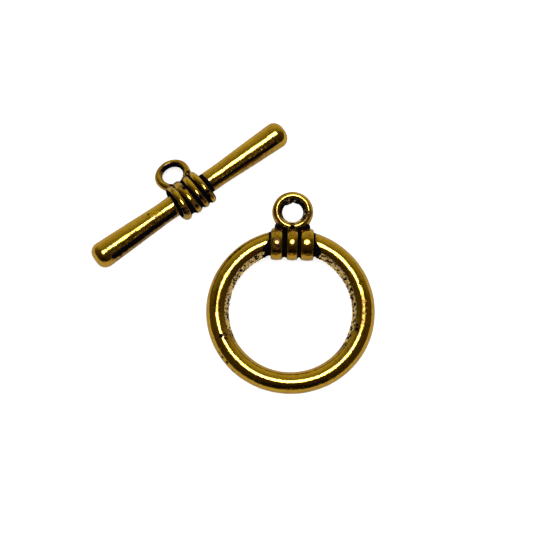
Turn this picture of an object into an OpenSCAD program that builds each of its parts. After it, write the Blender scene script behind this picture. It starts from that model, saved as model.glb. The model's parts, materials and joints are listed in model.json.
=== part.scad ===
// Toggle clasp: a ring casting and a bar casting, lying side by side as on a table.
// Each half is one casting: its wire-wrapped middle and its eye are cast in one piece with it.
// Millimetres, +Z up. The origin is on the table, under the middle of the pair's box.

/* [Ring] */
// Diameter of the opening that the bar passes through
ring_opening_d = 11.74; // [9:0.02:18]
// Width of the ring's wire, from the opening to the outer edge
ring_wire_w = 2.13; // [1.6:0.01:2.8]
// Height of the flat land inside the ring, where the casting's seam is cut away
ring_land_h = 0.5; // [0.2:0.05:0.9]

/* [Ring collar] */
// How far the collar's bands stand out from the ring's wire
collar_rise = 0.455; // [0.3:0.005:0.7]
// How far the collar's axis lies inside the wire's centre line
collar_inset = 0.32; // [0.1:0.01:0.4]
// Width of one band of the collar
collar_band_w = 1.2; // [0.9:0.05:1.5]
// Width of the groove between two bands
collar_gap_w = 0.23; // [0.1:0.01:0.4]
// Depth of the groove between two bands
collar_groove_depth = 0.26; // [0.1:0.02:0.4]
// Corner radius of a band of the collar
collar_corner_r = 0.34; // [0.1:0.02:0.42]
// Number of bands in the collar
collar_bands = 3; // [2:1:4]

/* [Ring eye] */
// Diameter of the hole in the eye on the ring
eye_bore_d = 1.96; // [1.4:0.02:2.6]
// Width of the eye's wire, from the hole to the outer edge
eye_wire_w = 1.035; // [0.9:0.005:1.2]
// Height of the flat land inside the eye's hole
eye_land_h = 0.46; // [0.2:0.02:0.6]
// How deep the eye's wire is sunk in the collar
eye_sink = 0.45; // [0.3:0.05:0.6]
// How much narrower than the eye its two legs are over their feet
eye_foot_in = 0.93; // [0.3:0.01:1.2]

/* [Bar] */
// Length of the bar
bar_l = 22.15; // [19:0.05:26]
// Diameter of the bar at its middle
bar_waist_d = 2.08; // [1.7:0.02:2.4]
// Largest diameter of the bar, near each end
bar_end_d = 2.656; // [2.5:0.002:3]
// Length of the bar's straight middle, before it flares
bar_straight_l = 6.6; // [5.4:0.1:9]
// Rounding radius of the bar's ends
bar_round_r = 0.99; // [0.7:0.01:1.15]

/* [Bar wrap] */
// How far the wrapped wire stands out from the bar
wrap_rise = 0.81; // [0.7:0.01:1]
// Diameter of the wrapped wire
wrap_wire_d = 0.76; // [0.6:0.01:0.9]
// Mean gap between two turns of the wrapped wire
wrap_gap_w = 0.12; // [0.1:0.01:0.25]
// Depth of the groove between two turns
wrap_groove_depth = 0.34; // [0.2:0.02:0.5]
// Where the middle of the wrap lies along the bar
wrap_place = 0.19; // [-0.5:0.01:0.5]

/* [Bar loop] */
// Diameter of the hole in the loop on the bar
loop_bore_d = 1.92; // [1.4:0.02:2.4]
// Width of the loop's wire, from the hole to the outer edge
loop_wire_w = 0.75; // [0.65:0.01:0.9]
// Height of the flat land inside the loop's hole
loop_land_h = 0.34; // [0.1:0.02:0.45]
// How deep the loop's wire is sunk in the wrap
loop_sink = 0.475; // [0.35:0.005:0.6]
// How much narrower than the loop its two legs are over their feet
loop_foot_in = 0.32; // [0.1:0.01:0.6]
// Where the middle of the loop lies along the bar
loop_place = -0.1; // [-0.3:0.01:0.3]

/* [Layout] */
// Clear space on the table between the ring's eye and the bar
pair_gap = 3.8; // [1:0.1:10]
// How far the bar has slid along its own length, from beside the ring's middle
bar_slide = -1.05; // [-8:0.05:8]
// Turn of the bar on the table, in degrees
bar_turn = 36; // [10:0.1:50]
// Turn of the ring on the table, in degrees
ring_turn = -1.4; // [-20:0.1:20]

/* [Hidden] */
$fn = 96;

// One row for each turn of the wrap: its place in pitches from the wrap's middle, and its slant in degrees
PLACE = 0;
SLANT = 1;
WRAP_TURNS = [
    [-1.45, 5.3],
    [-0.39, 2.5],
    [0.56, 0.7],
    [1.55, 1.8],
];

// A leg's wire as a share of its eye's wire
LEG_SHARE = 0.86;
// How far from the carrier's axis the legs' feet end, as a share of the carrier's radius
FOOT_SHARE = 0.5;
// How far a cut runs past the wire that it cuts, as a share of the wire's radius
CUT_SHARE = 1.5;

// Radius of round wire that a hole, cut straight through, leaves this wide and with this flat land
function wire_r(width, land_h) = (width * width + land_h * land_h / 4) / (2 * width);

// How far the bar reaches from its middle, along a line at this angle to it
function bar_reach(angle) =
    (bar_l / 2 - bar_round_r) * cos(angle) + bar_flat_r * sin(angle) + bar_round_r;

ring_outer_d = ring_opening_d + 2 * ring_wire_w;
ring_wire_r = wire_r(ring_wire_w, ring_land_h);
ring_mean_r = ring_outer_d / 2 - ring_wire_r;
collar_r = ring_wire_r + collar_rise;
collar_y = ring_mean_r - collar_inset;
collar_pitch = collar_band_w + collar_gap_w;
eye_outer_d = eye_bore_d + 2 * eye_wire_w;
eye_wire_r = wire_r(eye_wire_w, eye_land_h);
eye_y = collar_y + collar_r - eye_sink + eye_outer_d / 2;

bar_waist_r = bar_waist_d / 2;
bar_flat_r = bar_end_d / 2 - bar_round_r;
wrap_r = bar_waist_r + wrap_rise;
wrap_pitch = wrap_wire_d + wrap_gap_w;
loop_outer_d = loop_bore_d + 2 * loop_wire_w;
loop_wire_r = wire_r(loop_wire_w, loop_land_h);
loop_y = wrap_r - loop_sink + loop_outer_d / 2;

// The ring lies on its collar and on the wire opposite, the bar on its wrap and on its loop's tip
ring_tip = asin((collar_r - ring_wire_r) / (collar_y + ring_mean_r));
ring_z = ring_wire_r + ring_mean_r * sin(ring_tip);
bar_tip = asin((wrap_r - loop_wire_r) / (loop_y + loop_outer_d / 2 - loop_wire_r));

// The bar lies beside the ring: its axis stands off the ring's middle by the eye's reach and the gap
eye_reach = eye_y * cos(bar_turn - ring_turn) + eye_outer_d / 2;
bar_off = eye_reach + pair_gap + bar_end_d / 2;
bar_x = bar_slide * cos(bar_turn) - bar_off * sin(bar_turn);
bar_y = bar_slide * sin(bar_turn) + bar_off * cos(bar_turn);

// The box round both halves, measured from the ring's middle
ring_front = ring_mean_r * cos(ring_tip) + ring_wire_r;
ring_back = (eye_y + eye_outer_d / 2 - eye_wire_r) * cos(ring_tip) + eye_wire_r;
box_low = [
    min(-ring_outer_d / 2, bar_x - bar_reach(bar_turn)),
    min(-ring_front, bar_y - bar_reach(90 - bar_turn)),
];
box_high = [
    max(ring_outer_d / 2, bar_x + bar_reach(bar_turn)),
    max(ring_back, bar_y + bar_reach(90 - bar_turn)),
];
ring_x0 = -(box_low[0] + box_high[0]) / 2;
ring_y0 = -(box_low[1] + box_high[1]) / 2;

// A closed ring of round wire
module wire_ring(mean_r, wire_r) {
    rotate_extrude() translate([mean_r, 0]) circle(wire_r);
}

// A leg of wire from an eye's side down into what carries it, leaning in towards its foot
module eye_leg(side, eye_r, foot_w, reach, wire_r) {
    lean = atan((eye_r + wire_r - foot_w / 2) / reach);
    translate([side * eye_r, 0, 0])
        rotate([90, 0, 0])
            rotate([0, -side * lean, 0])
                cylinder(r = wire_r, h = reach / cos(lean));
}

// An eye of round wire with its two legs, and the hole cut straight through it
module cast_eye(outer_d, bore_d, wire_r, foot_in, reach) {
    eye_r = outer_d / 2 - wire_r;
    difference() {
        union() {
            wire_ring(eye_r, wire_r);
            for (side = [-1, 1])
                eye_leg(side, eye_r, outer_d - foot_in, reach, wire_r * LEG_SHARE);
        }
        cylinder(d = bore_d, h = 2 * CUT_SHARE * wire_r, center = true);
    }
}

// Half outline of one band of the collar: flat on top, with rounded corners
module band_outline() {
    flat = collar_band_w / 2 - collar_corner_r;
    translate([0, -flat]) square([collar_r, 2 * flat]);
    translate([0, -collar_band_w / 2]) square([collar_r - collar_corner_r, collar_band_w]);
    for (side = [-1, 1])
        translate([collar_r - collar_corner_r, side * flat]) circle(collar_corner_r);
}

// The collar: parallel bands on a core, its axis along X
module ring_collar() {
    span = (collar_bands - 1) * collar_pitch;
    rotate([0, 90, 0])
        rotate_extrude() {
            for (i = [0 : collar_bands - 1])
                translate([0, i * collar_pitch - span / 2]) band_outline();
            translate([0, -span / 2]) square([collar_r - collar_groove_depth, span]);
        }
}

module toggle_ring() {
    color("darkgoldenrod")
        translate([ring_x0, ring_y0, ring_z])
            rotate([ring_tip, 0, ring_turn]) {
                difference() {
                    wire_ring(ring_mean_r, ring_wire_r);
                    cylinder(d = ring_opening_d, h = 2 * CUT_SHARE * ring_wire_r, center = true);
                }
                translate([0, collar_y, 0]) ring_collar();
                translate([0, eye_y, 0])
                    cast_eye(eye_outer_d, eye_bore_d, eye_wire_r, eye_foot_in,
                        eye_y - collar_y - FOOT_SHARE * collar_r);
            }
}

// Half outline of one half of the bar: straight, then flared to meet the rounded end
module shank_outline() {
    round_s = bar_l / 2 - bar_round_r;
    straight_s = bar_straight_l / 2;
    rise = atan2(bar_flat_r - bar_waist_r, round_s - straight_s);
    run = norm([round_s - straight_s, bar_flat_r - bar_waist_r]);
    flare = rise + asin(bar_round_r / run);
    polygon([
        [0, 0],
        [bar_waist_r, 0],
        [bar_waist_r, straight_s],
        [bar_flat_r + bar_round_r * cos(flare), round_s - bar_round_r * sin(flare)],
        [bar_flat_r, round_s],
        [bar_flat_r, bar_l / 2],
        [0, bar_l / 2],
    ]);
    intersection() {
        translate([bar_flat_r, round_s]) circle(bar_round_r);
        square([bar_end_d, bar_l]);
    }
}

// The bar itself, its axis along X
module bar_shank() {
    rotate([0, 90, 0])
        rotate_extrude() {
            shank_outline();
            mirror([0, 1]) shank_outline();
        }
}

// The wrap: turns of round wire, each a little slanted, on a core that fills their grooves
module bar_wrap() {
    first = WRAP_TURNS[0][PLACE] * wrap_pitch;
    last = WRAP_TURNS[len(WRAP_TURNS) - 1][PLACE] * wrap_pitch;
    for (turn = WRAP_TURNS)
        translate([turn[PLACE] * wrap_pitch, 0, 0])
            rotate([0, 90, turn[SLANT]])
                wire_ring(wrap_r - wrap_wire_d / 2, wrap_wire_d / 2);
    translate([first, 0, 0])
        rotate([0, 90, 0]) cylinder(r = wrap_r - wrap_groove_depth, h = last - first);
}

module toggle_bar() {
    color("goldenrod")
        translate([ring_x0 + bar_x, ring_y0 + bar_y, wrap_r])
            rotate([-bar_tip, 0, bar_turn]) {
                bar_shank();
                translate([wrap_place, 0, 0]) bar_wrap();
                translate([loop_place, loop_y, 0])
                    cast_eye(loop_outer_d, loop_bore_d, loop_wire_r, loop_foot_in,
                        loop_y - FOOT_SHARE * wrap_r);
            }
}

toggle_ring();
toggle_bar();
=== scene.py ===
"""A two-part toggle clasp, cast and plated in antique gold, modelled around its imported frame."""

import json
import math
from contextlib import contextmanager
from types import SimpleNamespace

import bmesh
import bpy
from mathutils import Matrix, Vector
from mathutils.bvhtree import BVHTree


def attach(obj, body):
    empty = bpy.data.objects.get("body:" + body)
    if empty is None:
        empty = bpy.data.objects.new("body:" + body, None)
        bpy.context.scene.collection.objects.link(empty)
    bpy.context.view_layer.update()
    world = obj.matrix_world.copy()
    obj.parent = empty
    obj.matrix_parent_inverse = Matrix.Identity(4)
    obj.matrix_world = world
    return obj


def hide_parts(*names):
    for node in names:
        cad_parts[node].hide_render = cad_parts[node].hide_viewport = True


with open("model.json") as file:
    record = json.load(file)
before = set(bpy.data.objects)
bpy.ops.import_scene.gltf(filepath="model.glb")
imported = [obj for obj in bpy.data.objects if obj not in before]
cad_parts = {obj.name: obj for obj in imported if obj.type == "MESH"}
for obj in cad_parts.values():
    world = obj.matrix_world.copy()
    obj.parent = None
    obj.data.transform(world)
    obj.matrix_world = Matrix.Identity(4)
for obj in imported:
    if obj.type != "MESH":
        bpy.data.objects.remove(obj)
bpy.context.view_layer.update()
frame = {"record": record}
MOUNTS = {mount["name"]: mount for mount in frame["record"]["mounts"]}

bl_info = {
    "name": "Toggle Clasp",
    "version": (1, 0, 0),
    "blender": (4, 5, 0),
    "location": "3D View > Sidebar > Clasp",
    "description": "Models and finishes a cast toggle clasp around its frame",
    "category": "Object",
}

# The castings are shaped on a bench where one unit is a millimetre, and are then brought to size
BENCH = 1000.0


def length(name, description, millimetres):
    """A length that a user may change, given in millimetres and kept in metres."""
    return bpy.props.FloatProperty(
        name=name,
        description=description,
        default=millimetres / BENCH,
        unit="LENGTH",
        subtype="DISTANCE",
        precision=5,
    )


def colour(name, description, red, green, blue):
    """A linear colour that a user may change."""
    return bpy.props.FloatVectorProperty(
        name=name,
        description=description,
        default=(red, green, blue),
        subtype="COLOR",
        min=0.0,
        max=1.0,
    )


class ClaspRingSizes(bpy.types.PropertyGroup):
    """Sizes of the ring casting."""

    crest_r: length("Crest radius", "From the ring's middle to the crest of its wire", 6.94)
    wire_w: length("Wire half width", "Half the width of the ring's wire", 1.055)
    wire_h: length("Wire half height", "Half the height of the ring's wire", 1.07)
    wire_wear: length("Wire wear", "How much the wire's outer side is worn down opposite the collar", 0.08)
    flash_r: length("Flash radius", "From the ring's middle to the rough flash inside it", 5.86)
    flash_w: length("Flash half width", "Half the width of the flash's section", 0.18)
    flash_h: length("Flash half height", "Half the height of the rough flash inside the ring", 0.5)
    flash_grit: length("Flash grit", "Size of the lumps on the rough flash", 0.22)
    flash_relief: length("Flash relief", "Height of the lumps on the rough flash", 0.24)
    nick_depth: length("Nick depth", "How deep the nicks in the wire are", 0.08)
    collar_y: length("Collar place", "From the ring's middle to the collar's axis", 6.56)
    collar_r: length("Collar radius", "Radius of the collar over its bands", 1.534)
    band_crown: length("Band crown", "How far a band's crown stands over its edges", 0.15)
    band_edge: length("Band edge", "How far the crown of a band overhangs its side, on each side", 0.03)
    groove_depth: length("Groove depth", "How deep the grooves between the bands are", 0.3)
    collar_l: length("Collar length", "Length of the collar over its bands", 4.05)
    eye_y: length("Eye place", "From the ring's middle to the eye's middle", 9.7)
    eye_lift: length("Eye lift", "How far the eye's wire lies beyond the middle of its hole", 0.06)
    eye_crest_r: length("Eye crest radius", "From the eye's middle to the crest of its wire", 1.52)
    eye_wire_w: length("Eye wire half width", "Half the width of the eye's wire", 0.45)
    eye_wire_h: length("Eye wire half height", "Half the height of the eye's wire", 0.66)
    eye_hole_r: length("Eye hole radius", "Radius of the eye's hole, inside its flash", 0.98)
    eye_flash_w: length("Eye flash half width", "Half the width of the flash's section", 0.19)
    eye_flash_h: length("Eye flash half height", "Half the height of the flash's section", 0.16)
    burr_h: length("Burr height", "How far the burrs in the eye's hole stand out", 0.14)
    neck_w: length("Neck half width", "Half the width of the web between eye and collar", 1.7)
    neck_h: length("Neck half height", "Half the height of that web", 0.36)
    neck_round_r: length("Neck rounding", "Rounding radius of that web's edges", 0.2)


class ClaspBarSizes(bpy.types.PropertyGroup):
    """Sizes of the bar casting."""

    bar_l: length("Bar length", "Length of the bar", 22.15)
    waist_r: length("Waist radius", "Radius of the bar at its middle", 1.04)
    end_r: length("End radius", "Largest radius of the bar, near its ends", 1.328)
    round_r: length("End rounding", "Rounding radius of the bar's ends", 0.99)
    straight_l: length("Straight length", "Length of the bar's straight middle", 6.6)
    wrap_r: length("Wrap radius", "Radius of the wrap over its turns", 1.85)
    turn_h: length("Turn half height", "Half the height of one turn's section", 0.38)
    wrap_groove: length("Wrap groove", "How deep the grooves between the turns are", 0.26)
    loop_x: length("Loop place", "Where the loop's hole lies along the bar", -0.1)
    loop_shift: length("Loop shift", "How far the loop's wire lies to the right of its hole", 0.06)
    loop_y: length("Loop reach", "From the bar's axis to the loop's middle", 3.085)
    loop_along: length("Loop half width", "From the loop's middle to its wire, along the bar", 1.385)
    loop_across: length("Loop half height", "From the loop's middle to its wire, across the bar", 1.294)
    loop_legs: length("Loop legs", "How much further the loop's ends run down than a plain oval's", 0.32)
    loop_wire_w: length("Loop wire half width", "Half the width of the loop's wire", 0.375)
    loop_wire_h: length("Loop wire half height", "Half the height of the loop's wire", 0.39)


class ClaspFinish(bpy.types.PropertyGroup):
    """Colours and gloss of the plating."""

    gold: colour("Gold", "The plating where it is rubbed", 0.44, 0.255, 0.001)
    deep_gold: colour("Deep gold", "The plating where it is toned", 0.35, 0.185, 0.001)
    # Besides tarnish, this brown paints shade where the painted dark bands on the bar are faint
    brown: colour("Brown tarnish", "The tarnish round the recesses", 0.15, 0.06, 0.004)
    edge: colour("Edge tint", "The plating's tint where it is seen at a grazing angle", 0.7, 0.6, 0.35)
    cut: colour("Cut metal", "The rough flash between its black pits", 0.95, 0.66, 0.17)
    # Painted shade: this brown darkens the plating where a highlight is to look dim
    highlight_shade: colour("Brown film", "The thin film that dims the polish here and there", 0.135, 0.07, 0.004)
    # This black is the black in the hollows and also the painted shade and dark reflection on the castings
    patina_and_painted_shade: colour("Patina", "The black in the recesses", 0.0015, 0.001, 0.001)
    roughness: bpy.props.FloatProperty(
        name="Roughness",
        description="Roughness of the polished plating",
        default=0.09,
        min=0.0,
        max=1.0,
        subtype="FACTOR",
    )
    grain: length("Grain", "Size of the finest unevenness of the surface", 0.14)
    relief: length("Relief", "Depth of the unevenness that is too fine for the mesh", 0.05)
    lacquer: bpy.props.FloatProperty(
        name="Lacquer",
        description="How strongly the clear lacquer over the plating shines",
        default=0.44,
        min=0.0,
        max=1.0,
        subtype="FACTOR",
    )


class ClaspStage(bpy.types.PropertyGroup):
    """The floor, the light and the camera."""

    floor_w: length("Floor width", "Width of the square floor", 6000.0)
    floor_tone: colour("Floor", "Colour of the floor", 0.8, 0.8, 0.8)
    floor_glow: bpy.props.FloatProperty(
        name="Floor glow",
        description="How overexposed the floor looks in the picture",
        default=0.55,
        min=0.0,
    )
    camera_distance: length("Camera distance", "From the camera to the point that it looks at", 250.0)
    camera_lens: bpy.props.FloatProperty(
        name="Camera lens",
        description="Focal length of the camera, in millimetres",
        default=176.6,
        min=1.0,
        unit="CAMERA",
    )
    camera_elevation: bpy.props.FloatProperty(
        name="Camera elevation",
        description="How far the camera stands above the floor, as an angle",
        default=math.radians(74.4),
        subtype="ANGLE",
        unit="ROTATION",
    )
    aim_x: length("Aim across", "Where the camera looks, to the right of the frame's origin", 3.195)
    aim_y: length("Aim along", "Where the camera looks, behind the frame's origin", -0.498)
    light_height: length("Light height", "Height of the soft overhead light", 2000.0)
    light_w: length("Light half width", "Half the width of the soft overhead light", 362.0)
    light_l: length("Light half length", "Half the length of that light, front to back", 488.0)
    light_back: length("Light offset", "How far behind the clasp the light hangs", 100.0)
    fill_strength: bpy.props.FloatProperty(
        name="Fill strength",
        description="Brightness of the even light that fills the shadows",
        default=1.32,
        min=0.0,
    )
    light_power: bpy.props.FloatProperty(
        name="Light power",
        description="Power of the soft overhead light",
        default=78.0,
        min=0.0,
        unit="POWER",
    )
    light_tint: colour("Light tint", "Colour of the soft overhead light", 0.36, 0.4, 1.0)
    rim_spread: bpy.props.FloatProperty(
        name="Rim spread",
        description="How much wider than the overhead light its dim rim is",
        default=1.7,
        min=1.0,
    )
    rim_share: bpy.props.FloatProperty(
        name="Rim share",
        description="Power of the dim rim around the overhead light, as a share of its power",
        default=0.06,
        min=0.0,
        subtype="FACTOR",
    )


def on_bench(sizes):
    """A group's lengths in bench millimetres, by name."""
    names = sizes.__annotations__
    return SimpleNamespace(**{name: getattr(sizes, name) * BENCH for name in names})


def select_only(*pieces):
    """Selects these pieces and nothing else, the last of them active."""
    bpy.ops.object.select_all(action="DESELECT")
    for piece in pieces:
        piece.select_set(True)
    bpy.context.view_layer.objects.active = pieces[-1]


@contextmanager
def edit_mode(piece):
    """Edit mode on one piece, with all of it selected at first."""
    select_only(piece)
    bpy.ops.object.mode_set(mode="EDIT")
    bpy.ops.mesh.select_mode(type="VERT")
    bpy.ops.mesh.select_all(action="SELECT")
    yield
    bpy.ops.object.mode_set(mode="OBJECT")


def pick(piece, passes):
    """In edit mode, selects the vertices whose place passes a test."""
    bpy.ops.mesh.select_all(action="DESELECT")
    shape = bmesh.from_edit_mesh(piece.data)
    for vertex in shape.verts:
        vertex.select = passes(vertex.co)
    shape.select_flush_mode()
    bmesh.update_edit_mesh(piece.data)


def settled(name, rotation=(0, 0, 0), place=(0, 0, 0)):
    """Names the new primitive, turns and moves it, and applies that to its mesh."""
    piece = bpy.context.object
    piece.name = name
    piece.rotation_euler = rotation
    piece.location = place
    select_only(piece)
    bpy.ops.object.transform_apply(location=True, rotation=True, scale=True)
    return piece


def use_modifier(piece, kind, **settings):
    """Gives a piece a modifier and applies it."""
    select_only(piece)
    modifier = piece.modifiers.new(kind.title(), kind)
    for name, value in settings.items():
        setattr(modifier, name, value)
    bpy.ops.object.modifier_apply(modifier=modifier.name)


def wire_ring(name, crest_r, half_w, half_h, rotation=(0, 0, 0), place=(0, 0, 0), steps=256, sides=64):
    """A closed ring of oval wire, about the Z axis before it is turned and moved."""
    bpy.ops.mesh.primitive_torus_add(
        major_segments=steps, minor_segments=sides, major_radius=crest_r, minor_radius=half_w
    )
    with edit_mode(bpy.context.object):
        bpy.ops.transform.resize(value=(1, 1, half_h / half_w), center_override=(0, 0, 0))
    return settled(name, rotation, place)


def rod(name, radius, depth, place=(0, 0, 0), sides=128):
    """A plain round rod along the X axis."""
    bpy.ops.mesh.primitive_cylinder_add(vertices=sides, radius=radius, depth=depth)
    return settled(name, (0, math.pi / 2, 0), place)


def smooth_step(low, high, value):
    """From 0 at low to 1 at high, with soft ends."""
    share = min(max((value - low) / (high - low), 0.0), 1.0)
    return share * share * (3 - 2 * share)


def fading(low, high, value):
    """From 1 at low to 0 at high, with soft ends."""
    return 1 - smooth_step(low, high, value)


def mark(piece, name, values):
    """Writes a number for each vertex, which the finish reads by this name."""
    layer = piece.data.attributes.new(name, "FLOAT", "POINT")
    layer.data.foreach_set("value", values)


def mark_drawn(piece, lay):
    """Writes each vertex's place in a drawn wire: two coordinates across it and one along it, shortened."""
    layer = piece.data.attributes.new("drawn", "FLOAT_VECTOR", "POINT")
    values = []
    for vertex in piece.data.vertices:
        values.extend(part / BENCH for part in lay(vertex.co))
    layer.data.foreach_set("vector", values)


def spotted(place, spots):
    """How strongly a list of spots, each with its place, its radius and its strength, marks this place."""
    strongest = 0.0
    for x, y, z, radius, strength in spots:
        away = (place - Vector((x, y, z))).length
        strongest = max(strongest, strength * fading(0.5 * radius, radius, away))
    return strongest


def displaced(piece, name, weigh, strength, texture=None):
    """Moves the surface along its normals, as much as a weight by place says."""
    group = piece.vertex_groups.new(name=name)
    for vertex in piece.data.vertices:
        weight = weigh(vertex.co)
        if weight > 0.001:
            group.add([vertex.index], min(weight, 1.0), "REPLACE")
    settings = {"vertex_group": name, "strength": strength, "direction": "NORMAL"}
    if texture:
        use_modifier(piece, "DISPLACE", texture=texture, texture_coords="LOCAL", mid_level=0.5, **settings)
    else:
        use_modifier(piece, "DISPLACE", mid_level=0.0, **settings)
    piece.vertex_groups.remove(piece.vertex_groups[name])


def clouds(name, size, depth=2):
    """A cloudy noise texture for the displacement of a surface."""
    texture = bpy.data.textures.new(name, "CLOUDS")
    texture.noise_scale = size
    texture.noise_depth = depth
    return texture


def fused(name, parts, voxel, smoothing):
    """Melts parts into one casting, with the small fillets that a casting has."""
    select_only(*parts)
    bpy.ops.object.join()
    casting = bpy.context.object
    casting.name = name
    casting.data.name = name
    use_modifier(casting, "REMESH", mode="VOXEL", voxel_size=voxel, use_smooth_shade=True)
    use_modifier(casting, "SMOOTH", factor=0.5, iterations=smoothing)
    return casting


# Directions spread evenly over a sphere, for looking out of the recesses
SKY_RAYS = 48
GOLDEN_ANGLE = math.pi * (3 - math.sqrt(5))


def sky():
    """Unit vectors spread evenly over a sphere."""
    rays = []
    for i in range(SKY_RAYS):
        height = 1 - (2 * i + 1) / SKY_RAYS
        flat = math.sqrt(1 - height * height)
        rays.append(Vector((flat * math.cos(i * GOLDEN_ANGLE), flat * math.sin(i * GOLDEN_ANGLE), height)))
    return rays


def hidden_shares(piece, reach, lift=0.01, grazing=0.15):
    """For each vertex, the share of what it faces that the piece itself hides within this reach."""
    tree = BVHTree.FromObject(piece, bpy.context.evaluated_depsgraph_get())
    rays = sky()
    shares = []
    for vertex in piece.data.vertices:
        faced = hidden = 0.0
        start = vertex.co + vertex.normal * lift
        for ray in rays:
            facing = ray.dot(vertex.normal)
            if facing > grazing:
                faced += facing
                distance = tree.ray_cast(start, ray, reach)[3]
                if distance is not None:
                    hidden += facing * (1 - distance / reach)
        shares.append(hidden / faced)
    return shares


def placed(piece, mount_name, hole_x, hole_y):
    """Brings a casting from the bench to its place, with its hole on the mount's axis."""
    mount = MOUNTS[mount_name]
    up = Vector(mount["axis"]).normalized()
    right = up.cross(Vector((0, 0, 1))).normalized()
    if right.x < 0:
        right.negate()
    forward = up.cross(right)
    middle = Vector(mount["pos_m"]) - (right * hole_x + forward * hole_y) / BENCH
    turn = Matrix((right, forward, up)).transposed().to_4x4()
    piece.matrix_world = Matrix.Translation(middle) @ turn @ Matrix.Scale(1 / BENCH, 4)
    select_only(piece)
    bpy.ops.object.transform_apply(location=True, rotation=True, scale=True)


def dressed(piece, node, material):
    """Makes a finished casting stand for its CAD node."""
    piece.data.materials.clear()
    piece.data.materials.append(material)
    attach(piece, "root")
    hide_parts(node)


def feed(tree, socket, value):
    """Gives a socket a fixed value or links another node's output to it."""
    if isinstance(value, bpy.types.NodeSocket):
        tree.links.new(value, socket)
    else:
        socket.default_value = value


def add_node(tree, kind, settings=None, **inputs):
    """A shader node with its settings and its inputs, which are given by name or, as i0, by number."""
    node = tree.nodes.new(kind)
    for name, value in (settings or {}).items():
        setattr(node, name, value)
    for name, value in inputs.items():
        number = name[1:]
        key = int(number) if number.isdigit() else name.replace("_", " ")
        feed(tree, node.inputs[key], value)
    return node


def worked_out(tree, operation, first, second=0.0, clamp=False):
    """The result of one operation on two values."""
    settings = {"operation": operation, "use_clamp": clamp}
    return add_node(tree, "ShaderNodeMath", settings, i0=first, i1=second).outputs[0]


def scaled(tree, value, share):
    """A value times a share."""
    return worked_out(tree, "MULTIPLY", value, share)


def summed(tree, first, second):
    """The sum of two values."""
    return worked_out(tree, "ADD", first, second)


def stepped(tree, value, low, high, to_low=0.0, to_high=1.0, ease="SMOOTHSTEP"):
    """A value brought from one range to another, softly unless said otherwise."""
    node = add_node(
        tree,
        "ShaderNodeMapRange",
        {"interpolation_type": ease},
        Value=value,
        From_Min=low,
        From_Max=high,
        To_Min=to_low,
        To_Max=to_high,
    )
    return node.outputs["Result"]


def blended(tree, share, first, second):
    """Two colours mixed by a share."""
    node = add_node(tree, "ShaderNodeMix", {"data_type": "RGBA"}, i0=share, i6=first, i7=second)
    return node.outputs[2]


def speckle(tree, size, detail=4.0, roughness=0.55, place=None):
    """Noise whose features have about this size in millimetres, by the object's place or by another one."""
    place = place or add_node(tree, "ShaderNodeTexCoord").outputs["Object"]
    inputs = {"Vector": place, "Scale": BENCH / size, "Detail": detail, "Roughness": roughness}
    return add_node(tree, "ShaderNodeTexNoise", **inputs).outputs["Fac"]


def marked(tree, name):
    """The number that mark() wrote for each vertex under this name."""
    return add_node(tree, "ShaderNodeAttribute", {"attribute_name": name}).outputs["Fac"]


# Sizes of the features in the finish, in millimetres
RAGGED_EDGE = 0.3
SMEAR = 0.35
PIT = 0.3
PINHOLE = 0.2
PATCH = 1.2
STREAK = 0.3
WAVE = 0.6
HIGHLIGHT_SHADE_SPECKLE = 0.35


def centred(tree, noise):
    """Noise about zero instead of about a half."""
    return worked_out(tree, "SUBTRACT", noise, 0.5)


def blackened(tree, dirt_and_shade, crust, pits):
    """How far the finish is black: in its recesses and where shade is painted, in the pits of the cut flash
    and in stray pinholes.
    """
    black_in = stepped(tree, dirt_and_shade, 0.1, 0.2)
    pinholes = stepped(tree, speckle(tree, PINHOLE, 2.0), 0.68, 0.72)
    black_on = worked_out(tree, "MAXIMUM", scaled(tree, crust, pits), pinholes)
    return worked_out(tree, "MAXIMUM", black_in, black_on)


def plating_colour(tree, finish, streaky, dirt_and_shade, crust, highlight_shade):
    """Gold in two tones, browned round the black of the hollows and of the painted shade, paler where the
    flash was cut, and darkened by painted shade where a highlight is to look dim.
    """
    patchy = stepped(tree, speckle(tree, PATCH, 6.0, 0.7), 0.38, 0.62)
    toned = summed(tree, scaled(tree, patchy, 0.5), scaled(tree, streaky, 0.5))
    gold = blended(tree, toned, (*finish.gold, 1), (*finish.deep_gold, 1))
    browned = stepped(tree, dirt_and_shade, 0.0, 0.14, 0.0, 0.8)
    tarnished = blended(tree, browned, gold, (*finish.brown, 1))
    rubbed = blended(tree, crust, tarnished, (*finish.cut, 1))
    return blended(tree, highlight_shade, rubbed, (*finish.highlight_shade, 1))


def fine_relief(tree, finish, grain, streaky, coarse):
    """The unevenness that is too fine for the mesh: grain, polish lines, slow waves and coarse pits."""
    waves = scaled(tree, speckle(tree, WAVE, 3.0), 0.6)
    lined = summed(tree, waves, scaled(tree, streaky, 0.06))
    fine = summed(tree, scaled(tree, grain, 0.1), lined)
    height = summed(tree, fine, coarse)
    bump = add_node(tree, "ShaderNodeBump", Strength=0.7, Distance=finish.relief, Height=height)
    return bump.outputs["Normal"]


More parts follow.
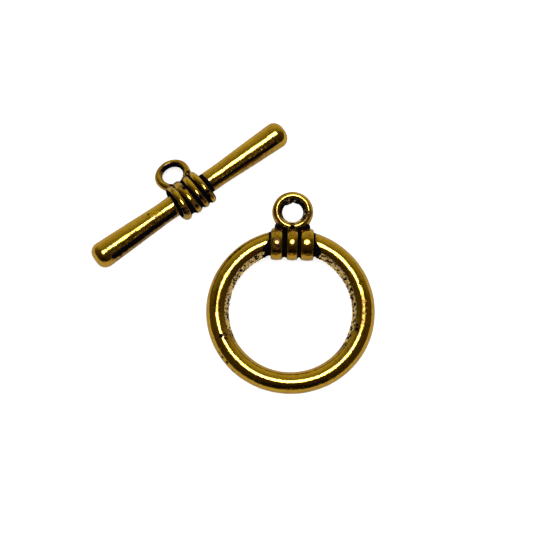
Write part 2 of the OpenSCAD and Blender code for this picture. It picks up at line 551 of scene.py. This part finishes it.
def antique_gold(name, finish):
    """Polished gold plating, black in its recesses and where shade is painted, darkened by painted shade
    where a highlight is to look dim, and rough where the flash was cut.
    """
    material = bpy.data.materials.new(name)
    material.use_nodes = True
    tree = material.node_tree
    tree.nodes.clear()
    patina_and_shade, crust, dull, highlight_shade = (marked(tree, layer) for layer in ("patina_and_shade", "crust", "dull", "highlight_shade"))
    ragged = centred(tree, speckle(tree, RAGGED_EDGE, 3.0))
    crust = stepped(tree, summed(tree, crust, scaled(tree, ragged, 0.9)), 0.42, 0.58)
    # Painted shade that dims the highlight, broken up by speckle; it also thins the lacquer
    highlight_shade = scaled(tree, highlight_shade, stepped(tree, speckle(tree, HIGHLIGHT_SHADE_SPECKLE, 3.0), 0.3, 0.5, 0.85, 1.0))
    smear = centred(tree, speckle(tree, SMEAR, 6.0, 0.7))
    # The black in the hollows together with painted shade, smeared by noise
    dirt_and_shade = summed(tree, patina_and_shade, scaled(tree, smear, 0.5))
    pits = stepped(tree, speckle(tree, PIT, 3.0), 0.47, 0.54)
    drawn = add_node(tree, "ShaderNodeAttribute", {"attribute_name": "drawn"}).outputs["Vector"]
    streaky = stepped(tree, speckle(tree, STREAK, 4.0, 0.6, drawn), 0.35, 0.65)
    grain = speckle(tree, finish.grain * BENCH, 3.0)
    scratched = scaled(tree, dull, stepped(tree, grain, 0.35, 0.6))

    black = blackened(tree, dirt_and_shade, crust, pits)
    bare = worked_out(tree, "SUBTRACT", 1.0, black)
    clear = worked_out(tree, "SUBTRACT", bare, scaled(tree, highlight_shade, 0.93), clamp=True)
    plating = plating_colour(tree, finish, streaky, dirt_and_shade, crust, highlight_shade)
    rough = summed(tree, finish.roughness, scaled(tree, grain, 0.06))
    # The cut, the scratched and the black places are duller than the polish
    for layer, share in ((crust, 0.42), (scratched, 0.3), (black, 0.4)):
        rough = worked_out(tree, "ADD", rough, scaled(tree, layer, share), clamp=True)
    coarse = scaled(tree, summed(tree, crust, scratched), pits)

    shader = add_node(
        tree,
        "ShaderNodeBsdfPrincipled",
        Base_Color=blended(tree, black, plating, (*finish.patina_and_painted_shade, 1)),
        Metallic=bare,
        Roughness=rough,
        Normal=fine_relief(tree, finish, grain, streaky, coarse),
        Specular_IOR_Level=stepped(tree, black, 0.0, 1.0, 0.5, 0.0),
        Specular_Tint=(*finish.edge, 1),
        Coat_Weight=scaled(tree, clear, finish.lacquer),
        Coat_Roughness=0.08,
    )
    add_node(tree, "ShaderNodeOutputMaterial", Surface=shader.outputs["BSDF"])
    return material


# One row for each band of the collar: its middle along the collar and its half width, in millimetres
COLLAR_BANDS = (
    (-1.46, 0.56),
    (0.03, 0.52),
    (1.45, 0.61),
)


def collar_parts(size):
    """The collar on the ring: three crowned bands on a core that fills their grooves."""
    middle = (0, size.collar_y, 0)
    core_r = size.collar_r - size.groove_depth
    crown_r = size.collar_r - size.band_crown
    turned = (0, math.pi / 2, 0)
    parts = [rod("collar_core", core_r, size.collar_l - 2 * size.band_crown, middle)]
    for i, (along, half_w) in enumerate(COLLAR_BANDS):
        place = (along, size.collar_y, 0)
        parts.append(wire_ring(f"band_crown_{i}", crown_r, size.band_crown, half_w, turned, place))
        parts.append(rod(f"band_body_{i}", crown_r, 2 * (half_w - size.band_edge), place))
    return parts


def eye_parts(size):
    """The eye on the collar: a ring of wire, the flash in its hole, and the web below it."""
    middle = (0, size.eye_y, 0)
    lifted = (0, size.eye_y + size.eye_lift, 0)
    wire = wire_ring("eye_wire", size.eye_crest_r, size.eye_wire_w, size.eye_wire_h, place=lifted)
    flash_mid_r = size.eye_hole_r + size.eye_flash_w
    flash = wire_ring("eye_flash", flash_mid_r, size.eye_flash_w, size.eye_flash_h, place=middle)
    top = size.eye_y - flash_mid_r
    low = size.collar_y + size.collar_r - size.groove_depth
    bpy.ops.mesh.primitive_cube_add(size=2, scale=(size.neck_w, (top - low) / 2, size.neck_h))
    web = settled("eye_web", place=(0, (top + low) / 2, 0))
    use_modifier(web, "BEVEL", width=size.neck_round_r, segments=4)
    return [wire, flash, web]


# Cube sizes in millimetres and rounds of smoothing that melt the parts of a casting together
RING_VOXEL = 0.074
RING_SMOOTHING = 4
BAR_VOXEL = 0.064
BAR_SMOOTHING = 3

# The slow unevenness of both castings: its size and its height, in millimetres
FLOW_SIZE = 1.3
FLOW_HEIGHT = 0.03

# How far a vertex looks for what hides it, in millimetres
RECESS_REACH = 0.7

# The polish leaves streaks along the wires, so lengths along them count only this much
STREAK_SHORTENING = 0.12

# Length of one degree round the crest of the ring's wire
MILLIMETRES_PER_DEGREE = 0.12


# In all functions that tell how far a place lies on something, lengths are in millimetres on the
# bench and angles in degrees


def ring_angle(place):
    """Angle round the ring, in degrees from the +X side towards the eye."""
    return math.degrees(math.atan2(place.y, place.x))


def along_ring(place):
    """A place by its distance from the ring's middle, its height and its shortened way round the ring."""
    way = ring_angle(place) * MILLIMETRES_PER_DEGREE
    return math.hypot(place.x, place.y), place.z, way * STREAK_SHORTENING


def flash_share(place, size):
    """How far a place lies on the rough flash that is left inside the upper half of the ring."""
    out = math.hypot(place.x, place.y)
    inside = fading(size.flash_r + 0.36, size.flash_r + 0.56, out)
    low = fading(0.7, 0.88, abs(place.z))
    if place.x > 0:
        upper = smooth_step(-50, -15, ring_angle(place))
    else:
        upper = smooth_step(-0.6, -0.2, place.y / out)
    beside_collar = smooth_step(2.1, 2.3, abs(place.x)) if place.y > 0 else 1
    return inside * low * upper * beside_collar


def collar_black_share(place, size):
    """How far a place lies in the collar's black grooves, and in the black corners at its ends, which hold
    painted shade as well and widen towards the ring's middle.
    """
    out = math.hypot(place.y - size.collar_y, place.z)
    along = abs(place.x)
    if along < 1.2:
        return fading(size.collar_r - 0.15, size.collar_r - 0.07, out)
    lower = smooth_step(-0.3, 0.9, size.collar_y - place.y)
    reach = 0.12 + 0.6 * lower
    near = fading(reach, reach + 0.15, along - size.collar_l / 2)
    return near * smooth_step(1.9, 2.0, along) * fading(1.2, 1.34, out)


def eye_flash_share(place, size):
    """How far a place lies on the flash that is left in the eye's hole."""
    out = math.hypot(place.x, place.y - size.eye_y)
    return fading(size.eye_hole_r + 0.2, size.eye_hole_r + 0.34, out)


def eye_black_share(place, size):
    """How far a place lies on the eye's blackened web and in its blackened hole, except low down towards
    the collar; the hole's black is the black in the hollow together with painted dark reflection.
    """
    out = math.hypot(place.x, place.y - size.eye_y)
    hole = fading(size.eye_hole_r + 0.28, size.eye_hole_r + 0.42, out)
    upper = smooth_step(-0.8, -0.4, (place.y - size.eye_y) / max(out, 0.001))
    collar_top = size.collar_y + size.collar_r
    above_collar = smooth_step(collar_top - 0.22, collar_top - 0.08, place.y)
    web = above_collar * smooth_step(size.eye_crest_r + 0.16, size.eye_crest_r + 0.3, out)
    return max(hole * upper, web * (1 if place.y < size.eye_y - 1.2 else 0))


# Two stretches of the ring's crest where painted shade dims the highlight: the middle and half the length
# of each, in degrees
HIGHLIGHT_SHADE_STRETCHES = (
    (-2, 16),
    (174, 9),
)


def highlight_shade_share(place, size):
    """How far a place lies on the stretches along the crest of the ring's wire where painted shade dims the
    highlight.
    """
    beside = fading(0.2, 0.34, abs(math.hypot(place.x, place.y) - size.crest_r))
    if beside == 0 or place.z < 0:
        return 0.0
    along = 0.0
    for middle, half in HIGHLIGHT_SHADE_STRETCHES:
        away = abs((ring_angle(place) - middle + 180) % 360 - 180)
        along = max(along, fading(half - 1.5, half + 2, away))
    return beside * along


def wear_share(place, size):
    """How far a place lies on the outer side of the wire opposite the collar."""
    out = math.hypot(place.x, place.y)
    return smooth_step(7.0, 7.7, out) * min(place.y / out, 0.0) ** 2


# Spots on the ring, from its middle: x, y, z and radius in millimetres, and strength
RING_BLACK_SPOTS = (
    (6.32, -1.35, 0.95, 0.24, 0.22),
    (6.3, -1.75, 0.95, 0.3, 0.24),
    (-3.2, 6.6, 0.7, 0.16, 0.5),
    (-6.1, -2.55, 1.0, 0.34, 0.22),
    (-6.05, -2.95, 1.0, 0.3, 0.22),
    (-6.5, -2.75, 1.05, 0.26, 0.5),
    (-1.46, 6.45, 1.53, 0.62, 0.13),
    (-1.5, 6.0, 1.45, 0.6, 0.15),
    (0.03, 7.3, 1.3, 0.5, 0.1),
    (1.45, 7.2, 1.3, 0.5, 0.08),
    (-1.46, 7.3, 1.3, 0.5, 0.08),
    (2.5, 5.6, 0.1, 0.5, 0.4),
    (-2.5, 5.6, 0.1, 0.6, 0.4),
    (-6.5, -4.1, 0.4, 0.22, 0.3),
    (-6.2, -4.6, 0.45, 0.26, 0.24),
    (-5.8, -5.1, 0.5, 0.26, 0.2),
    (-5.4, -6.0, 0.2, 0.25, 0.3),
    # This row and the four after it darken the eye's wire where its highlight is dim: tarnish there,
    # together with painted shade over the highlight
    (0.0, 8.05, 0.5, 0.4, 0.3),
    (1.55, 9.5, 0.6, 0.5, 0.17),
    (1.3, 8.9, 0.6, 0.5, 0.17),
    (-1.55, 9.3, 0.6, 0.5, 0.12),
    (-1.2, 8.65, 0.6, 0.5, 0.12),
)
RING_DULL_SPOTS = (
    (6.93, 0.9, 1.07, 0.3, 0.25),
    (7.0, 0.35, 1.07, 0.3, 0.25),
    (7.0, -0.2, 1.07, 0.3, 0.25),
    (6.95, -0.75, 1.07, 0.3, 0.25),
    (6.85, -1.3, 1.07, 0.3, 0.25),
)
# Spots of painted shade that dim the highlight on the collar's left band and round the eye
RING_HIGHLIGHT_SHADE_SPOTS = (
    (-1.65, 6.44, 1.53, 0.32, 1.0),
    (1.4, 9.25, 0.6, 0.4, 0.9),
    (1.1, 8.85, 0.6, 0.42, 0.95),
    (0.75, 8.58, 0.6, 0.25, 0.6),
    (-0.05, 8.33, 0.6, 0.4, 0.9),
    (-1.5, 9.75, 0.6, 0.3, 0.6),
)
RING_NICKS = (
    (6.56, 2.69, 1.05, 0.2, 0.25),
    (-6.55, -4.2, 0.3, 0.35, 0.8),
)
EYE_BURRS = (
    (-0.4, 10.6, 0.0, 0.42, 0.9),
    (0.3, 10.68, 0.0, 0.3, 0.4),
)


# How strongly the blackened places of the ring count in the black, which is also painted shade and dark
# reflection at the eye and the collar
FLASH_RIM_BLACK = 0.6
EYE_BLACK = 0.22
COLLAR_BLACK = 0.35


class CLASP_OT_ring_casting(bpy.types.Operator):
    """Models the ring with its banded collar and its eye, as one casting"""

    bl_idname = "clasp.ring_casting"
    bl_label = "Ring Casting"

    def execute(self, context):
        size = on_bench(context.scene.clasp_ring)
        wire = wire_ring("ring_wire", size.crest_r, size.wire_w, size.wire_h, steps=480, sides=96)
        flash_mid_r = size.flash_r + size.flash_w
        flash = wire_ring("ring_flash", flash_mid_r, size.flash_w, size.flash_h, steps=480)
        parts = [wire, flash, *collar_parts(size), *eye_parts(size)]
        casting = fused("ring_casting", parts, RING_VOXEL, RING_SMOOTHING)
        displaced(casting, "wear", lambda place: wear_share(place, size), -size.wire_wear)
        displaced(casting, "nicks", lambda place: spotted(place, RING_NICKS), -size.nick_depth)
        displaced(casting, "burrs", lambda place: spotted(place, EYE_BURRS), size.burr_h)
        displaced(casting, "flow", lambda place: 1.0, FLOW_HEIGHT, clouds("flow", FLOW_SIZE))
        grit = clouds("flash", size.flash_grit)
        displaced(casting, "flash", lambda place: flash_share(place, size), size.flash_relief, grit)

        places = [vertex.co for vertex in casting.data.vertices]
        crust = [max(flash_share(place, size), eye_flash_share(place, size)) for place in places]
        hidden = hidden_shares(casting, RECESS_REACH)
        rims = [FLASH_RIM_BLACK * share * (1 - share) for share in crust]
        spots = [spotted(place, RING_BLACK_SPOTS) for place in places]
        eye = [EYE_BLACK * eye_black_share(place, size) for place in places]
        collar = [COLLAR_BLACK * collar_black_share(place, size) for place in places]
        # The black is the black in the hollows, with painted shade and dark reflection at the eye, the
        # collar and some spots
        mark(casting, "patina_and_shade", [max(*shares) for shares in zip(hidden, rims, spots, eye, collar)])
        mark(casting, "crust", crust)
        mark(casting, "dull", [spotted(place, RING_DULL_SPOTS) for place in places])
        # Painted shade that dims the highlight on stretches of the crest, on the collar and on the eye
        highlight_shade = [max(highlight_shade_share(place, size), spotted(place, RING_HIGHLIGHT_SHADE_SPOTS)) for place in places]
        mark(casting, "highlight_shade", highlight_shade)
        mark_drawn(casting, along_ring)
        placed(casting, "ring_eye", 0, size.eye_y)
        material = antique_gold("antique_gold_ring_finish", context.scene.clasp_finish)
        dressed(casting, "toggle_ring", material)
        return {"FINISHED"}


# One row for each turn of the wrap: its middle along the bar and its half width in millimetres,
# then its slant and its lean in degrees
WRAP_TURNS = (
    (-1.33, 0.39, -0.7, 3.0),
    (-0.31, 0.45, 2.2, -8.0),
    (0.62, 0.39, 0.7, -8.0),
    (1.38, 0.37, 3.0, -5.5),
)

# The wrap is flattened: how its section is stretched along and across the direction of its long axis,
# above and below, and how far that direction dips towards the loop
WRAP_STRETCH_ALONG = 1.092
WRAP_STRETCH_ABOVE = 0.872
WRAP_STRETCH_BELOW = 0.968
WRAP_DIP = math.radians(9.8)


def shank(size):
    """The bar itself: straight at its waist, flared towards its rounded ends."""
    bar = rod("bar_shank", size.waist_r, size.bar_l)
    # Everything past this, on either side, belongs to the end faces
    end = size.bar_l / 2 - 0.001
    with edit_mode(bar):
        for side in (-1, 1):
            pick(bar, lambda place: True)
            bpy.ops.mesh.bisect(plane_co=(side * size.straight_l / 2, 0, 0), plane_no=(1, 0, 0))
        pick(bar, lambda place: abs(place.x) > end)
        share = size.end_r / size.waist_r
        bpy.ops.transform.resize(value=(1, share, share), center_override=(0, 0, 0))
    with edit_mode(bar):
        pick(bar, lambda place: abs(place.x) > end)
        bpy.ops.mesh.bevel(offset=size.round_r, segments=16, profile=0.5)
    return bar


def flattened(part):
    """Flattens the round section of a part of the wrap, mostly above."""
    middle = (0, 0, 0)
    with edit_mode(part):
        # With no window, this operator turns against the sign of its angle
        bpy.ops.transform.rotate(value=-WRAP_DIP, orient_axis="X", center_override=middle)
        bpy.ops.transform.resize(value=(1, WRAP_STRETCH_ALONG, 1), center_override=middle)
        pick(part, lambda place: place.z > 0)
        bpy.ops.transform.resize(value=(1, 1, WRAP_STRETCH_ABOVE), center_override=middle)
        pick(part, lambda place: place.z < 0)
        bpy.ops.transform.resize(value=(1, 1, WRAP_STRETCH_BELOW), center_override=middle)
        bpy.ops.mesh.select_all(action="SELECT")
        bpy.ops.transform.rotate(value=WRAP_DIP, orient_axis="X", center_override=middle)


def wrap_parts(size):
    """The wrap round the bar's waist: slightly slanted turns of wire on a core."""
    parts = []
    for i, (along, half_w, slant, lean) in enumerate(WRAP_TURNS):
        turning = (0, math.pi / 2 + math.radians(lean), math.radians(slant))
        turn_r = size.wrap_r - size.turn_h
        parts.append(wire_ring(f"wrap_turn_{i}", turn_r, size.turn_h, half_w, turning, (along, 0, 0)))
    first, last = WRAP_TURNS[0][0], WRAP_TURNS[-1][0]
    middle = ((first + last) / 2, 0, 0)
    parts.append(rod("wrap_core", size.wrap_r - size.wrap_groove, last - first, middle))
    for part in parts:
        flattened(part)
    return parts


def loop_parts(size):
    """The loop beside the wrap: an oval of wire whose two ends run down into the wrap."""
    bpy.ops.mesh.primitive_torus_add(
        major_segments=256,
        minor_segments=64,
        major_radius=size.loop_along,
        minor_radius=size.loop_wire_w,
    )
    wire = bpy.context.object
    middle = (0, 0, 0)
    with edit_mode(wire):
        across = size.loop_across / size.loop_along
        flat = size.loop_wire_h / size.loop_wire_w
        bpy.ops.transform.resize(value=(1, across, flat), center_override=middle)
        pick(wire, lambda place: place.y < 0)
        longer = 1 + size.loop_legs / size.loop_across
        bpy.ops.transform.resize(value=(1, longer, 1), center_override=middle)
    return [settled("loop_wire", place=(size.loop_x + size.loop_shift, size.loop_y, 0))]


# Spots on the bar, from its middle: x, y, z and radius in millimetres, and strength
BAR_BLACK_SPOTS = (
    (-0.2, -0.05, 1.6, 0.4, 0.22),
    (-0.35, 0.35, 1.6, 0.3, 0.16),
    (-1.3, 0.5, 1.5, 0.4, 0.1),
    (1.15, 2.1, 0.1, 0.4, 0.4),
    (-4.5, 0.15, 1.05, 0.13, 0.5),
)
BAR_DULL_SPOTS = (
    (0.1, 4.4, 0.3, 0.5, 0.4),
    (-4.0, 0.0, 1.0, 0.6, 0.5),
)


def wrap_black_share(place, size):
    """How far a place lies in the wrap's black: its grooves, which painted dark reflection widens on the
    side away from the loop, and there also painted dark reflection over most of each turn.
    """
    beyond = abs(place.x) > 1.9 or place.y > 2.1
    inside = math.hypot(place.y, place.z) < size.wrap_r - 0.7
    if beyond or inside:
        return 0.0
    sides = []
    for along, half_w, slant, lean in WRAP_TURNS:
        slant, lean = math.radians(slant), math.radians(lean)
        level = math.cos(lean)
        across = Vector((level * math.cos(slant), level * math.sin(slant), -math.sin(lean)))
        sides.append(across.dot(place - Vector((along, 0, 0))) / half_w)
    side = min(sides, key=abs)
    angle = shank_angle(place)
    lower = smooth_step(-0.2, 1.4, -place.y)
    outside = place.x < WRAP_TURNS[0][0] - 0.1
    # Away from the loop the grooves widen: painted dark reflection
    edge = 0.69 + (0.5 * smooth_step(0.8, 1.3, -place.y) if outside else -0.22 * lower)
    groove = smooth_step(edge, edge + 0.16, abs(side))
    # Painted dark reflection on the flanks of the turns that face away from the loop
    flank = smooth_step(42, 52, angle) * fading(74, 86, angle)
    return max(groove, 0.55 * flank * fading(0.3, 0.55, side))


def loop_black_share(place, size):
    """How far a place lies on the black inner side of the loop, blackest above and to the right."""
    x = (place.x - size.loop_x - size.loop_shift) / size.loop_along
    y = (place.y - size.loop_y) / size.loop_across
    out = math.hypot(x, y)
    inner = fading(0.86, 0.98, out)
    line = 0.4 * smooth_step(1.0, 1.06, out) * fading(1.12, 1.18, out)
    return max(inner * smooth_step(-0.7, 0.4, y * 0.8 + x), line) * smooth_step(1.9, 2.0, place.y)


def shank_angle(place):
    """Angle round the bar's axis, in degrees from straight up towards the side away from the loop."""
    return math.degrees(math.atan2(-place.y, place.z))


def wrap_end_share(place):
    """How far a place on the bar lies in the black corners at the wrap's two ends, which hold painted shade
    as well and widen away from the loop.
    """
    out = math.hypot(place.y, place.z)
    lower = smooth_step(-0.4, 0.8, -place.y)
    edge = 1.8 if place.x > 0 else 1.6
    near = fading(0.1 + 0.1 * lower, 0.3 + 0.2 * lower, abs(place.x) - edge)
    return near * fading(1.12, 1.3, out) * smooth_step(1.4, 1.5, abs(place.x))


def lower_flank_painted_shade(place):
    """How dark the bar's arms are painted below their highlight: painted dark reflection in a band under it
    and painted shade down the lower flank, darkest on the left arm.
    """
    angle = shank_angle(place)
    arm = smooth_step(1.9, 2.3, abs(place.x)) * fading(9.2, 10.4, abs(place.x))
    left = place.x < 0
    above_seam = smooth_step(38, 44, angle) * fading(49, 52, angle)
    ended = smooth_step(76, 98, angle) if left else smooth_step(66, 80, angle)
    dark = smooth_step(53, 58, angle) * (1 - ended)
    pale = smooth_step(60, 70, angle) * fading(110, 130, angle)
    return arm * max(0.14 * above_seam, 0.29 * dark, (0.12 if left else 0.06) * pale)


def seam_share(place):
    """How far a place lies on the thin scratched line along both arms of the bar."""
    line = fading(2.0, 4.5, abs(shank_angle(place) - 53.5))
    return line * smooth_step(2.2, 2.8, abs(place.x)) * fading(9.2, 9.8, abs(place.x))


# How strongly the blackened places of the bar count in the black, which is also painted shade and dark
# reflection on the wrap and at its ends, and how dull its seam is
WRAP_BLACK = 0.35
LOOP_BLACK = 0.25
WRAP_END_BLACK = 0.4
SEAM_DULL = 0.38


class CLASP_OT_bar_casting(bpy.types.Operator):
    """Models the bar with its wrap and its loop, as one casting"""

    bl_idname = "clasp.bar_casting"
    bl_label = "Bar Casting"

    def execute(self, context):
        size = on_bench(context.scene.clasp_bar)
        parts = [shank(size), *wrap_parts(size), *loop_parts(size)]
        casting = fused("bar_casting", parts, BAR_VOXEL, BAR_SMOOTHING)
        displaced(casting, "flow", lambda place: 1.0, FLOW_HEIGHT, clouds("flow", FLOW_SIZE))

        places = [vertex.co for vertex in casting.data.vertices]
        hidden = hidden_shares(casting, RECESS_REACH)
        # The black in the hollows is doubled on the side away from the loop: painted shade there
        hidden_and_shaded = [share * (1 + smooth_step(-0.4, 1.2, -place.y)) for share, place in zip(hidden, places)]
        wrap = [WRAP_BLACK * wrap_black_share(place, size) for place in places]
        loop = [LOOP_BLACK * loop_black_share(place, size) for place in places]
        spots = [spotted(place, BAR_BLACK_SPOTS) for place in places]
        ends = [WRAP_END_BLACK * wrap_end_share(place) for place in places]
        # Painted dark reflection and painted shade below the highlight on both arms
        flank = [lower_flank_painted_shade(place) for place in places]
        # The black is the black in the hollows, with painted shade and dark reflection on the wrap and the
        # arms
        mark(casting, "patina_and_shade", [max(*shares) for shares in zip(hidden_and_shaded, wrap, loop, spots, ends, flank)])
        mark(casting, "crust", [0.0] * len(places))
        mark(casting, "highlight_shade", [0.0] * len(places))
        dull = [max(spotted(place, BAR_DULL_SPOTS), SEAM_DULL * seam_share(place)) for place in places]
        mark(casting, "dull", dull)
        mark_drawn(casting, lambda place: (place.y, place.z, place.x * STREAK_SHORTENING))
        placed(casting, "bar_loop", size.loop_x, size.loop_y)
        material = antique_gold("antique_gold_bar_finish", context.scene.clasp_finish)
        dressed(casting, "toggle_bar", material)
        return {"FINISHED"}


def floor_finish(tone, glow):
    """A plain pale floor, which the camera sees as overexposed as the photograph shows it."""
    material = bpy.data.materials.new("pale_floor")
    material.use_nodes = True
    tree = material.node_tree
    shader = tree.nodes["Principled BSDF"]
    shader.inputs["Base Color"].default_value = (*tone, 1)
    shader.inputs["Roughness"].default_value = 0.9
    shader.inputs["Specular IOR Level"].default_value = 0.1
    shader.inputs["Emission Color"].default_value = (1, 1, 1, 1)
    straight = add_node(tree, "ShaderNodeLightPath").outputs["Is Camera Ray"]
    feed(tree, shader.inputs["Emission Strength"], scaled(tree, straight, glow))
    return material


# Colour of the room by direction, from the horizon in front over the dark side to the pale wall behind
ROOM_TONES = (
    (0.0, (0.25, 0.22, 0.18)),
    (0.01, (0.015, 0.012, 0.01)),
    (0.05, (0.01, 0.008, 0.006)),
    (0.125, (0.048, 0.036, 0.022)),
    (0.25, (0.075, 0.057, 0.03)),
    (0.4, (0.085, 0.064, 0.032)),
    (0.5, (0.12, 0.095, 0.045)),
    (0.635, (0.135, 0.108, 0.05)),
    (0.7, (0.22, 0.19, 0.07)),
    (0.75, (0.38, 0.36, 0.16)),
    (0.875, (0.66, 0.66, 0.33)),
    (1.0, (0.95, 0.95, 0.5)),
)


def chosen(tree, switch, otherwise, when):
    """One shader when the switch is on, and the other one otherwise."""
    first, second = otherwise.outputs[0], when.outputs[0]
    return add_node(tree, "ShaderNodeMixShader", i0=switch, i1=first, i2=second)


def studio_room(fill_strength):
    """A room that is dark in front and pale behind in the polish, and fills the shadows evenly."""
    world = bpy.data.worlds.new("studio_room")
    bpy.context.scene.world = world
    world.use_nodes = True
    world.cycles.sampling_method = "NONE"
    tree = world.node_tree
    tree.nodes.clear()
    direction = add_node(tree, "ShaderNodeTexCoord").outputs["Generated"]
    along = add_node(tree, "ShaderNodeSeparateXYZ", Vector=direction).outputs["Y"]
    share = stepped(tree, along, -1.0, 1.0, ease="LINEAR")
    ramp = add_node(tree, "ShaderNodeValToRGB", Fac=share)
    steps = ramp.color_ramp.elements
    while len(steps) < len(ROOM_TONES):
        steps.new(0.5)
    for step, (place, tone) in zip(steps, ROOM_TONES):
        step.position = place
        step.color = (*tone, 1)
    room = add_node(tree, "ShaderNodeBackground", Color=ramp.outputs["Color"])
    fill = add_node(tree, "ShaderNodeBackground", Color=(1, 1, 1, 1), Strength=fill_strength)
    backdrop = add_node(tree, "ShaderNodeBackground", Color=(1, 1, 1, 1))
    ray = add_node(tree, "ShaderNodeLightPath").outputs
    lit = chosen(tree, ray["Is Diffuse Ray"], room, fill)
    seen = chosen(tree, ray["Is Camera Ray"], lit, backdrop)
    add_node(tree, "ShaderNodeOutputWorld", Surface=seen.outputs[0])


def soft_lamp(name, stage, spread, power, receivers):
    """An oval light above the castings, which shines on these receivers alone."""
    place = (stage.aim_x, stage.aim_y + stage.light_back, stage.light_height)
    bpy.ops.object.light_add(type="AREA", location=place)
    lamp = bpy.context.object
    lamp.name = name
    lamp.data.shape = "ELLIPSE"
    lamp.data.size = 2 * stage.light_w * spread
    lamp.data.size_y = 2 * stage.light_l * spread
    lamp.data.energy = power
    lamp.data.color = stage.light_tint
    aim = Vector((stage.aim_x, stage.aim_y, 0)) - Vector(place)
    lamp.rotation_euler = aim.to_track_quat("-Z", "Y").to_euler()
    lamp.light_linking.receiver_collection = receivers


def overhead_light(stage):
    """The light on the castings: a bright lamp with a dim rim, as a soft box has."""
    castings = bpy.data.collections.new("castings")
    for name in ("ring_casting", "bar_casting"):
        castings.objects.link(bpy.data.objects[name])
    soft_lamp("overhead_light", stage, 1.0, stage.light_power, castings)
    soft_lamp("overhead_rim", stage, stage.rim_spread, stage.light_power * stage.rim_share, castings)


def fitted_camera(stage):
    """The camera where the photograph was taken from."""
    tilt = math.pi / 2 - stage.camera_elevation
    back = Vector((0, -math.sin(tilt), math.cos(tilt))) * stage.camera_distance
    place = Vector((stage.aim_x, stage.aim_y, 0)) + back
    bpy.ops.object.camera_add(location=place, rotation=(tilt, 0, 0))
    camera = bpy.context.object
    camera.name = "clasp_camera"
    camera.data.lens = stage.camera_lens
    camera.data.sensor_width = 36.0
    camera.data.clip_start = 0.001
    bpy.context.scene.camera = camera


class CLASP_OT_stage(bpy.types.Operator):
    """Sets up the pale floor, the soft light and the camera"""

    bl_idname = "clasp.stage"
    bl_label = "Stage"

    def execute(self, context):
        stage = context.scene.clasp_stage
        bpy.ops.mesh.primitive_plane_add(size=stage.floor_w)
        floor = settled("pale_floor")
        floor.data.materials.append(floor_finish(stage.floor_tone, stage.floor_glow))
        studio_room(stage.fill_strength)
        overhead_light(stage)
        fitted_camera(stage)
        context.scene.view_settings.view_transform = "Standard"
        return {"FINISHED"}


class CLASP_PT_panel(bpy.types.Panel):
    """Lists the steps that make the clasp and the sizes that they use"""

    bl_idname = "CLASP_PT_panel"
    bl_label = "Toggle Clasp"
    bl_space_type = "VIEW_3D"
    bl_region_type = "UI"
    bl_category = "Clasp"

    def draw(self, context):
        for step in (CLASP_OT_ring_casting, CLASP_OT_bar_casting, CLASP_OT_stage):
            self.layout.operator(step.bl_idname)
        for group in GROUPS:
            sizes = getattr(context.scene, group)
            box = self.layout.box()
            for name in sizes.__annotations__:
                box.prop(sizes, name)


GROUPS = {
    "clasp_ring": ClaspRingSizes,
    "clasp_bar": ClaspBarSizes,
    "clasp_finish": ClaspFinish,
    "clasp_stage": ClaspStage,
}
CLASSES = (*GROUPS.values(), CLASP_OT_ring_casting, CLASP_OT_bar_casting, CLASP_OT_stage, CLASP_PT_panel)


def register():
    """Registers the classes and hangs their settings on the scene."""
    for kind in CLASSES:
        bpy.utils.register_class(kind)
    for name, kind in GROUPS.items():
        setattr(bpy.types.Scene, name, bpy.props.PointerProperty(type=kind))


def unregister():
    """Takes the settings and the classes away again."""
    for name in GROUPS:
        delattr(bpy.types.Scene, name)
    for kind in reversed(CLASSES):
        bpy.utils.unregister_class(kind)


def main():
    """Makes the clasp and its stage."""
    register()
    bpy.ops.clasp.ring_casting()
    bpy.ops.clasp.bar_casting()
    bpy.ops.clasp.stage()


if __name__ == "__main__":
    main()
